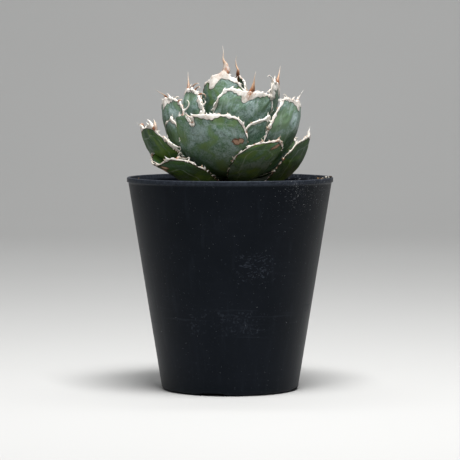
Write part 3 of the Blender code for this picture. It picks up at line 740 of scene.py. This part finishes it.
def grow_tooth(work, blade, axes, size, hook, curl):
    here, out, along, off = axes
    here -= out * 0.5
    tall = 1.45 * size + 0.5
    rings = []
    for t in np.linspace(0.0, 1.0, 7).tolist():
        centre = here + out * (tall * (t - 0.25 * abs(hook) * t**3))
        centre += along * (hook * size * 1.1 * t**2) + off * (curl * size * 0.8 * t**2)
        across = (along - out * (hook * 1.1 * t)).normalized()
        wide = 0.85 * size * (1.0 - t) ** 1.8 + 0.16 * (1.0 - t) ** 0.5 + 0.04
        thin = 0.34 * size * (1.0 - t) ** 0.9 + 0.06
        rings.append((centre, across, off, wide, thin))
    tints = (0.0, 0.0, 0.0, 0.35, 0.6) if blade.youth > 0.3 else (0.0, 0.3, 0.6)
    grow_horn(work, rings, blade.dice.choice(tints), 6)


def grow_curl(work, axes, curl):
    """A long thin tooth that bends over or rolls into a ring."""
    here, out, along, off = axes
    side = (along * curl.side + off * curl.off).normalized()
    lean = out.cross(side).normalized()
    count = 16
    step = curl.length / (count - 1)
    centre = here - out * 0.5
    rings = []
    for t in np.linspace(0.0, 1.0, count).tolist():
        angle = 2.0 * pi * curl.turns * t**1.4
        ahead = out * cos(angle) + side * sin(angle)
        across = ahead.cross(lean).normalized()
        wide = curl.wide * (1.0 - t) ** 0.9 + 0.55 * curl.wide * (1.0 - t) ** 6 + 0.09
        thin = 0.8 * curl.wide * (1.0 - t) ** 0.9 + 0.08
        rings.append((centre, across, lean, wide, thin))
        centre = centre + ahead * step + lean * (0.25 * step * curl.turns)
    grow_horn(work, rings, curl.brown, 7)


def grow_spine(work, blade):
    """The terminal spine: a broad keeled foot sunk in the blade's tip, then a thin wandering point."""
    leaf, habit = blade.leaf, blade.habit
    sunk = blade.spot((0.0, blade.length - 3.4), EDGE_MIDDLE + 0.10)
    here = blade.spot((0.0, blade.length + 0.6 * habit.peak), EDGE_MIDDLE)
    rising = (here - sunk).normalized()
    turned = radians(leaf.azimuth + leaf.twist)
    radial = Vector((sin(turned), -cos(turned), 0.0))
    sideways = Vector((cos(turned), sin(turned), 0.0))
    lean = radians(leaf.lean)
    aim = radial * sin(lean) + Vector((0.0, 0.0, cos(lean))) + sideways * tan(radians(leaf.side))
    length = leaf.spine - 0.6 * habit.peak * cos(lean)
    count, foot = 22, 0.22
    rings = []
    centre = sunk
    for t in np.linspace(0.0, 1.0, count).tolist():
        if t <= foot:
            centre = sunk.lerp(here, t / foot)
        else:
            ahead = rising.lerp(aim, min(1.0, (t - foot) / 0.2)).normalized() * aim.length
            centre = centre + ahead * (length / (1.0 - foot) / (count - 1))
        place = max(t - foot, 0.0) / (1.0 - foot) * (len(habit.wander) - 1)
        k = min(int(place), len(habit.wander) - 2)
        part = float(smooth(0.0, 1.0, place - k))
        sway = habit.wander[k] * (1.0 - part) + habit.wander[k + 1] * part
        body = habit.wide * float(smooth(0.0, 1.2 * foot, t)) * (1.0 - min(t / 0.70, 1.0)) ** 1.35
        slim = 0.40 * (1.0 - t) ** 0.6 + 0.05
        swayed = centre + sideways * (sway * min(1.0, 1.6 * t / foot))
        rings.append((swayed, sideways, radial, body + slim, 0.45 * body + 0.75 * slim))
    grow_horn(work, rings, habit.brown, 10)


# ---------------- pot


def turn_profile(profile, sides):
    """Spins a profile once round the upright axis and closes its poles."""
    work = bmesh.new()
    verts = [work.verts.new((r * MM, 0.0, z * MM)) for r, z in profile]
    edges = [work.edges.new((a, b)) for a, b in zip(verts, verts[1:])]
    bmesh.ops.spin(
        work, geom=verts + edges, cent=(0, 0, 0), axis=(0, 0, 1), angle=2.0 * pi, steps=sides,
        use_merge=True,
    )
    bmesh.ops.remove_doubles(work, verts=work.verts, dist=0.000004)
    bmesh.ops.recalc_face_normals(work, faces=work.faces)
    for face in work.faces:
        face.smooth = True
    return work


def arc(centre_r, centre_z, radius, first, last, steps):
    angles = [radians(first + (last - first) * i / steps) for i in range(steps + 1)]
    return [(centre_r + radius * cos(a), centre_z + radius * sin(a)) for a in angles]


def pot_wall(z):
    top = POT_HEIGHT - LIP_HEIGHT
    share = (z - FOOT_ROUND) / (top - FOOT_ROUND)
    return POT_FOOT + (POT_RIM - LIP_PROUD - POT_FOOT) * share


def cut_holes(thing, cutters):
    for cutter in cutters:
        hole = thing.modifiers.new(cutter.name, "BOOLEAN")
        hole.operation = "DIFFERENCE"
        hole.solver = "EXACT"
        hole.object = cutter
    bpy.context.view_layer.update()
    graph = bpy.context.evaluated_depsgraph_get()
    cut = bpy.data.meshes.new_from_object(thing.evaluated_get(graph), depsgraph=graph)
    thing.modifiers.clear()
    thing.data = cut
    for cutter in cutters:
        bpy.data.objects.remove(cutter, do_unlink=True)


def make_pot():
    floor_top = FLOOR_LOW + FLOOR_THICK
    lip_low = POT_HEIGHT - LIP_HEIGHT
    inner = pot_wall(POT_HEIGHT) - POT_WALL
    ring = POT_FOOT - FOOT_ROUND - FOOT_RING
    profile = [(0.0, floor_top), (10.0, floor_top)]
    profile += [(pot_wall(floor_top) - 2.4 * POT_WALL, floor_top)]
    profile += arc(pot_wall(floor_top + 1.4) - POT_WALL - 1.4, floor_top + 1.4, 1.4, -90, 0, 4)
    profile += [(pot_wall(z) - POT_WALL, z) for z in (12, 30, 50, 70, 90, 100)]
    profile += arc(inner + 0.45, POT_HEIGHT - 0.45, 0.45, 180, 90, 4)
    profile += arc(POT_RIM - LIP_ROUND, POT_HEIGHT - LIP_ROUND, LIP_ROUND, 90, 0, 5)
    profile += arc(POT_RIM - 0.45, lip_low + 0.45, 0.45, 0, -90, 4)
    profile += [(pot_wall(lip_low) + 0.12, lip_low - 0.02), (pot_wall(lip_low - 0.25), lip_low - 0.25)]
    profile += [(pot_wall(z), z) for z in (104.5, 100, 90, 80, 70, 60, 50, 40, 30, 20, 12, 6, 3.5)]
    profile += arc(POT_FOOT - FOOT_ROUND, FOOT_ROUND, FOOT_ROUND, 0, -90, 6)
    profile += [(ring + 0.3, 0.0), (ring, 0.3), (ring - 0.4, FLOOR_LOW - 0.3)]
    profile += [(ring - 0.7, FLOOR_LOW), (10.0, FLOOR_LOW), (0.0, FLOOR_LOW)]
    work = turn_profile(profile, POT_SIDES)
    half = NOTCH_WIDE / POT_FOOT / 2.0
    for vert in work.verts:
        r = hypot(vert.co.x, vert.co.y)
        if vert.co.z > NOTCH_HIGH * MM or r < (ring - 0.3) * MM:
            continue
        angle = atan2(vert.co.x, -vert.co.y)
        for notch in NOTCH_AT:
            off = abs((angle - radians(notch) + pi) % (2.0 * pi) - pi)
            if off < half:
                vert.co.z = NOTCH_HIGH * MM
    pot = show(keep(work, "pot_moulded"))
    holes = [(0.0, 0.0, DRAIN_MIDDLE)]
    for i in range(DRAINS):
        turn = 2.0 * pi * i / DRAINS
        holes.append((DRAIN_CIRCLE * sin(turn), -DRAIN_CIRCLE * cos(turn), DRAIN_SMALL))
    cutters = []
    for i, (x, y, radius) in enumerate(holes):
        plug = bmesh.new()
        place = Matrix.Translation((x * MM, y * MM, (FLOOR_LOW + 0.5 * FLOOR_THICK) * MM))
        bmesh.ops.create_cone(
            plug, cap_ends=True, segments=36, radius1=radius * MM, radius2=radius * MM,
            depth=PLUG_LONG * MM, matrix=place,
        )
        cutters.append(show(keep(plug, f"drain_{i}")))
    cut_holes(pot, cutters)
    pot.data.materials.clear()
    pot.data.materials.append(pot_finish())
    round_over(pot.data)
    pot.data.set_sharp_from_angle(angle=radians(38))
    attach(pot, "root")
    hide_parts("pot")


def pot_finish():
    """Near-black moulded plastic: faint upright flow lines, scuffs, scratches and settled dust."""
    f = Finish("scuffed_black_plastic")
    place = f.place()
    side = f.add("SeparateXYZ", inputs={"Vector": place})
    height = side.node.outputs["Z"]
    cloud = f.grain(place, 38.0, 4.0, 0.6)
    upright = f.grain(f.place((1.0, 1.0, 0.04)), 260.0, 4.0, 0.65)
    level = f.grain(f.place((0.06, 0.06, 1.0)), 420.0, 5.0, 0.7, None, 0.5)
    speck = f.grain(place, 1500.0, 2.0, 0.6)
    fine = f.grain(place, 620.0, 6.0, 0.75)
    colour = f.fade(cloud, 0.3, 0.7, (0.0022, 0.0027, 0.0038), (0.0045, 0.0054, 0.0075))
    flow = f.times(f.between(upright, 0.52, 0.70), 0.45)
    colour = f.mix(flow, colour, (0.009, 0.011, 0.015))
    band = f.times(f.between(height, 0.028, 0.033), f.between(height, 0.046, 0.041))
    scuff = f.times(f.between(level, 0.55, 0.72), f.scaled(band, 0.75, 0.12))
    scuff = f.times(scuff, f.between(cloud, 0.35, 0.55))
    colour = f.mix(scuff, colour, (0.024, 0.028, 0.036))
    rubbed = f.times(band, f.between(cloud, 0.40, 0.62))
    knocked = f.times(f.between(height, 0.054, 0.062), f.between(height, 0.076, 0.068))
    across = f.times(f.between(side, -0.004, 0.008), f.between(side, 0.030, 0.016))
    knocked = f.times(knocked, across)
    slant = f.grain(f.place((0.35, 1.0, 1.0)), 700.0, 5.0, 0.75, None, 1.2)
    nicks = f.between(f.scaled(knocked, 0.13, slant), 0.66, 0.74)
    grazes = f.between(f.scaled(rubbed, 0.10, fine), 0.60, 0.72, 0.0, 0.6)
    nicks = f.plus(nicks, grazes, clamp=True)
    colour = f.mix(f.times(nicks, 0.7), colour, (0.040, 0.046, 0.060))
    # Painted highlight and wear: the lip's upper band is lighter all round, as if lit from above, and
    # lighter still in patches of wear.
    rim = f.between(height, 0.1052, 0.1062)
    wear_and_highlight = f.times(rim, f.between(fine, 0.30, 0.70, 0.25, 1.0))
    colour = f.mix(wear_and_highlight, colour, (0.034, 0.040, 0.052))
    upper = f.times(f.between(height, 0.080, 0.104), f.between(side, 0.012, 0.036))
    dust_share = f.plus(f.times(upper, 0.10), f.between(height, 0.012, 0.0, 0.0, 0.04))
    dusty = f.plus(fine, dust_share)
    dust = f.between(dusty, 0.66, 0.76, 0.0, 0.6)
    colour = f.mix(dust, colour, (0.090, 0.098, 0.110))
    flecks = f.between(f.plus(speck, f.times(upper, 0.08)), 0.735, 0.765)
    colour = f.mix(flecks, colour, (0.26, 0.27, 0.28))
    rough = f.scaled(cloud, 0.16, 0.36)
    rough = f.plus(rough, f.times(f.plus(scuff, dust), 0.3), clamp=True)
    relief = f.bump(f.plus(fine, f.times(level, 0.5)), 0.12, 0.0002)
    relief = f.bump(upright, 0.10, 0.0004, relief)
    f.set(Base_Color=colour, Roughness=rough, Normal=relief, Specular_IOR_Level=0.14)
    f.set(Specular_Tint=(0.62, 0.78, 1.0, 1.0))
    return f.material


# ---------------- potting mix


def mix_finish(name, loose):
    """Clay, pumice and bark: a tone to each loose granule, and crumbs of all in the mix below."""
    f = Finish(name)
    where = f.place()
    tone = f.trait("tone") if loose else f.grain(where, 520.0, 3.0, 0.6)
    pore = f.grain(where, 1400.0, 5.0, 0.7)
    broad = f.grain(where, 60.0, 3.0, 0.5)
    clay = f.fade(pore, 0.35, 0.65, (0.17, 0.092, 0.045), (0.36, 0.23, 0.12))
    clay = f.fade(broad, 0.4, 0.6, clay, (0.20, 0.14, 0.085))
    pumice = f.fade(pore, 0.35, 0.65, (0.36, 0.33, 0.28), (0.62, 0.58, 0.50))
    bark = f.mix(pore, (0.020, 0.014, 0.010), (0.070, 0.048, 0.030))
    steps = (0.30, 0.34, 0.74, 0.78) if loose else (0.46, 0.52, 0.62, 0.65)
    colour = f.mix(f.between(tone, steps[0], steps[1]), bark, clay)
    colour = f.mix(f.between(tone, steps[2], steps[3]), colour, pumice)
    relief = f.bump(pore, 0.7, 0.0006)
    if not loose:
        relief = f.bump(tone, 0.9, 0.0012, relief)
    f.set(Base_Color=colour, Roughness=0.95, Normal=relief, Specular_IOR_Level=0.2)
    return f.material


def stem_finish():
    """The short stem and root crown: pale ringed bark above, dark fibrous roots below."""
    f = Finish("ringed_stem")
    height = f.add("SeparateXYZ", out="Z", inputs={"Vector": f.place()})
    rings = f.grain(f.place((0.15, 0.15, 1.0)), 900.0, 4.0, 0.65, None, 0.6)
    fibre = f.grain(f.place((1.0, 1.0, 0.12)), 800.0, 5.0, 0.7)
    bark = f.fade(rings, 0.35, 0.65, (0.060, 0.050, 0.022), (0.260, 0.230, 0.130))
    root = f.fade(fibre, 0.35, 0.65, (0.050, 0.030, 0.016), (0.230, 0.150, 0.085))
    colour = f.mix(f.between(height, MIX_TOP * MM, (MIX_TOP + 2.0) * MM), root, bark)
    relief = f.bump(rings, 0.6, 0.0006)
    relief = f.bump(fibre, 0.5, 0.0005, relief)
    f.set(Base_Color=colour, Roughness=0.85, Normal=relief, Specular_IOR_Level=0.2)
    return f.material


GRANULES = 3400
SPILT = 26  # granules high against the wall on the right
UNDER_PLANT = 17.0  # nearer the stem than this they are small, to fit under the leaves
# Crumbs left on the lip: (degrees from the front, size).
ON_LIP = ((58, 0.55), (64, 0.4), (69, 0.75), (74, 0.5), (79, 0.6), (86, 0.4), (-62, 0.35), (148, 0.5))
BATCH = 100  # granules made together, because one large bmesh is slow to add to


def make_grains():
    """Loose granules over the mix, piled a little against the wall and low near the stem."""
    dice = random.Random(41)
    inside = pot_wall(MIX_TOP) - POT_WALL - 0.3
    spots = []
    for _ in range(GRANULES):
        r = inside * (dice.random() ** 0.55) * 0.985
        angle = dice.uniform(0.0, 2.0 * pi)
        size = 0.5 + 1.25 * dice.random() ** 2.2 if r > UNDER_PLANT else dice.uniform(0.35, 0.5)
        r = min(r, inside - size)
        sink = dice.uniform(0.25, 0.75) if r > UNDER_PLANT else 0.9
        lift = 0.9 * max(0.0, (r - 38.0) / 10.0)
        z = MIX_TOP + lift + size * (0.5 - sink) + 0.05
        spots.append((r * sin(angle), -r * cos(angle), z, size))
    for _ in range(SPILT):
        angle = radians(dice.uniform(50.0, 98.0))
        size = dice.uniform(0.6, 1.5)
        r = inside + 1.0 - size - dice.uniform(0.0, 2.5)
        z = dice.uniform(102.0, 107.6) - size * 0.4
        spots.append((r * sin(angle), -r * cos(angle), z, size))
    for degrees, size in ON_LIP:
        r = POT_RIM - 0.85
        angle = radians(degrees)
        spots.append((r * sin(angle), -r * cos(angle), POT_HEIGHT + size * 0.72, size))
    mesh = bpy.data.meshes.new("batch")
    work = bmesh.new()
    for start in range(0, len(spots), BATCH):
        batch = bmesh.new()
        batch_tone = batch.verts.layers.float.new("tone")
        for x, y, z, size in spots[start : start + BATCH]:
            stretch = [size * dice.uniform(0.75, 1.2) for _ in range(3)]
            turn = dice.uniform(0.0, 6.0)
            spin = Matrix.Rotation(turn, 4, (dice.random() + 0.1, dice.random(), dice.random()))
            place = Matrix.Translation((x * MM, y * MM, z * MM)) @ spin
            place = place @ Matrix.Diagonal((*stretch, 1.0)) @ Matrix.Scale(MM, 4)
            made = bmesh.ops.create_icosphere(batch, subdivisions=1, radius=1.0, matrix=place)
            shade = dice.random()
            for vert in made["verts"]:
                vert[batch_tone] = shade
                vert.co += Vector([dice.uniform(-0.12, 0.12) * size * MM for _ in range(3)])
        batch.to_mesh(mesh)
        batch.free()
        work.from_mesh(mesh)
    bpy.data.meshes.remove(mesh)
    grains = show(keep(work, "mix_granules"), mix_finish("loose_granules", True))
    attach(grains, "root")


# ---------------- spear


SPEAR_FOOT = 120.3
SPEAR_TALL = 33.0  # up to the foot of its point
# From the tip to the foot: (radius, height over the spear's foot).
SPEAR_PROFILE = ((0.0, 39.0), (0.12, 38.9), (0.35, 36.0), (0.8, 33.0), (1.3, 30.0), (1.9, 25.0), (2.8, 18.0))
SPEAR_PROFILE += ((3.4, 12.0), (3.5, 17.0), (3.2, 9.0), (2.3, 3.0), (1.6, 0.0), (0.0, 0.0))


def lay_spear(mesh):
    """Winds the pale edge and the bloom round the rolled leaf."""
    x, y, z = points_of(mesh).T
    share = (z / MM - SPEAR_FOOT) / SPEAR_PROFILE[0][1]
    turn = np.arctan2(x, -y)
    swirl = np.abs(((turn / (2 * pi) + 0.9 * share) * 2.0) % 1.0 - 0.5) * 7.0
    give_traits(
        mesh, along=unit(share), horn=np.where(share > 0.93, 1.0, 0.35 - swirl), inset=swirl, scar=0.0,
        tipward=np.clip((share - 0.9) * 8.0, 0.0, 0.8), youth=0.8, seed=11.0,
    )
    lay_flat(mesh, np.stack([turn * 0.35, share * 4.2], -1))


def make_spear(finish):
    work = turn_profile([(r, SPEAR_FOOT + z) for r, z in SPEAR_PROFILE], 40)
    bmesh.ops.subdivide_edges(work, edges=work.edges[:], cuts=1, use_grid_fill=True)
    for vert in work.verts:
        angle = atan2(vert.co.x, -vert.co.y)
        share = (vert.co.z / MM - SPEAR_FOOT) / SPEAR_TALL
        fold = 1.0 + 0.10 * cos(angle * 2.0 + 5.6 * share)
        vert.co.x *= fold
        vert.co.y *= fold
    spear = show(keep(work, "spear_rolled"), finish)
    round_over(spear.data)
    lay_spear(spear.data)
    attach(spear, "root")
    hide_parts("leaf_spear")


# ---------------- stage, light and camera

# Metres.
SWEEP_HALF = 4.0
SWEEP_BACK = 1.2
SWEEP_ROUND = 0.8
SWEEP_DROP = 0.0002  # a hair under the pot
LOOK_AT = 0.0809
CAMERA_OFF = 1.286
CAMERA_RISE = 3.6  # degrees
CAMERA_LENS = 197.3


def stage_finish():
    f = Finish("pale_sweep")
    soft = f.grain(f.place(), 3.0, 2.0)
    colour = f.mix(soft, (0.56, 0.555, 0.54), (0.59, 0.585, 0.57))
    f.set(Base_Color=colour, Roughness=0.9, Specular_IOR_Level=0.1)
    return f.material


def make_stage():
    """A pale floor that sweeps up behind into a wall."""
    work = bmesh.new()
    line = [(-SWEEP_HALF, 0.0), *arc(SWEEP_BACK, SWEEP_ROUND, SWEEP_ROUND, -90, 0, 9)]
    line += [(SWEEP_BACK + SWEEP_ROUND, SWEEP_HALF)]
    verts = [work.verts.new((-SWEEP_HALF, y, z - SWEEP_DROP)) for y, z in line]
    edges = [work.edges.new((a, b)) for a, b in zip(verts, verts[1:])]
    made = bmesh.ops.extrude_edge_only(work, edges=edges)
    bmesh.ops.translate(work, verts=only(made, bmesh.types.BMVert), vec=(2.0 * SWEEP_HALF, 0.0, 0.0))
    bmesh.ops.recalc_face_normals(work, faces=work.faces)
    floor = show(keep(work, "pale_sweep"), stage_finish())
    round_over(floor.data)


def lamp(name, place, aim, size, power, colour=(1.0, 1.0, 1.0)):
    data = bpy.data.lights.new(name, "AREA")
    data.shape = "RECTANGLE"
    data.size, data.size_y = size
    data.energy = power
    data.color = colour
    thing = bpy.data.objects.new(name, data)
    thing.location = place
    thing.rotation_euler = (Vector(aim) - Vector(place)).to_track_quat("-Z", "Y").to_euler()
    bpy.context.scene.collection.objects.link(thing)


def light_and_camera():
    world = bpy.data.worlds.new("soft_room")
    world.use_nodes = True
    world.node_tree.nodes["Background"].inputs["Color"].default_value = (0.86, 0.90, 0.96, 1.0)
    world.node_tree.nodes["Background"].inputs["Strength"].default_value = 0.13
    bpy.context.scene.world = world
    lamp("top_softbox", (0.05, -0.24, 0.78), (0.0, 0.0, 0.13), (0.34, 0.28), 9.2, (0.985, 0.99, 1.0))
    lamp("front_fill", (-0.35, -1.1, 0.55), (0.0, 0.0, 0.12), (0.6, 0.4), 0.9, (0.96, 0.98, 1.0))
    lamp("sweep_wash", (0.0, 0.5, 1.6), (0.0, 1.6, 0.5), (1.6, 0.6), 16.0, (0.98, 0.99, 1.0))
    target = Vector((0.0, 0.0, LOOK_AT))
    rise = radians(CAMERA_RISE)
    lens = bpy.data.cameras.new("camera")
    lens.sensor_width = 36.0
    lens.lens = CAMERA_LENS
    lens.clip_start = 0.05
    lens.clip_end = 20.0
    camera = bpy.data.objects.new("camera", lens)
    camera.location = target + Vector((0.0, -cos(rise), sin(rise))) * CAMERA_OFF
    camera.rotation_euler = (target - camera.location).to_track_quat("-Z", "Y").to_euler()
    bpy.context.scene.collection.objects.link(camera)
    bpy.context.scene.camera = camera
    bpy.context.scene.view_settings.view_transform = "Standard"


# ---------------- putting it together

light_and_camera()
make_stage()
make_pot()
make_grains()
BURIED = {"potting_mix": mix_finish("fine_mix", False), "stem_and_roots": stem_finish()}
for node_name, finish in BURIED.items():
    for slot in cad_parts[node_name].material_slots:
        slot.material = finish
LEAF_FINISHES = (leaf_finish(), horn_finish())
for rank, leaf in enumerate(LEAVES):
    make_leaf(leaf, rank, LEAF_FINISHES)
make_spear(LEAF_FINISHES[0])
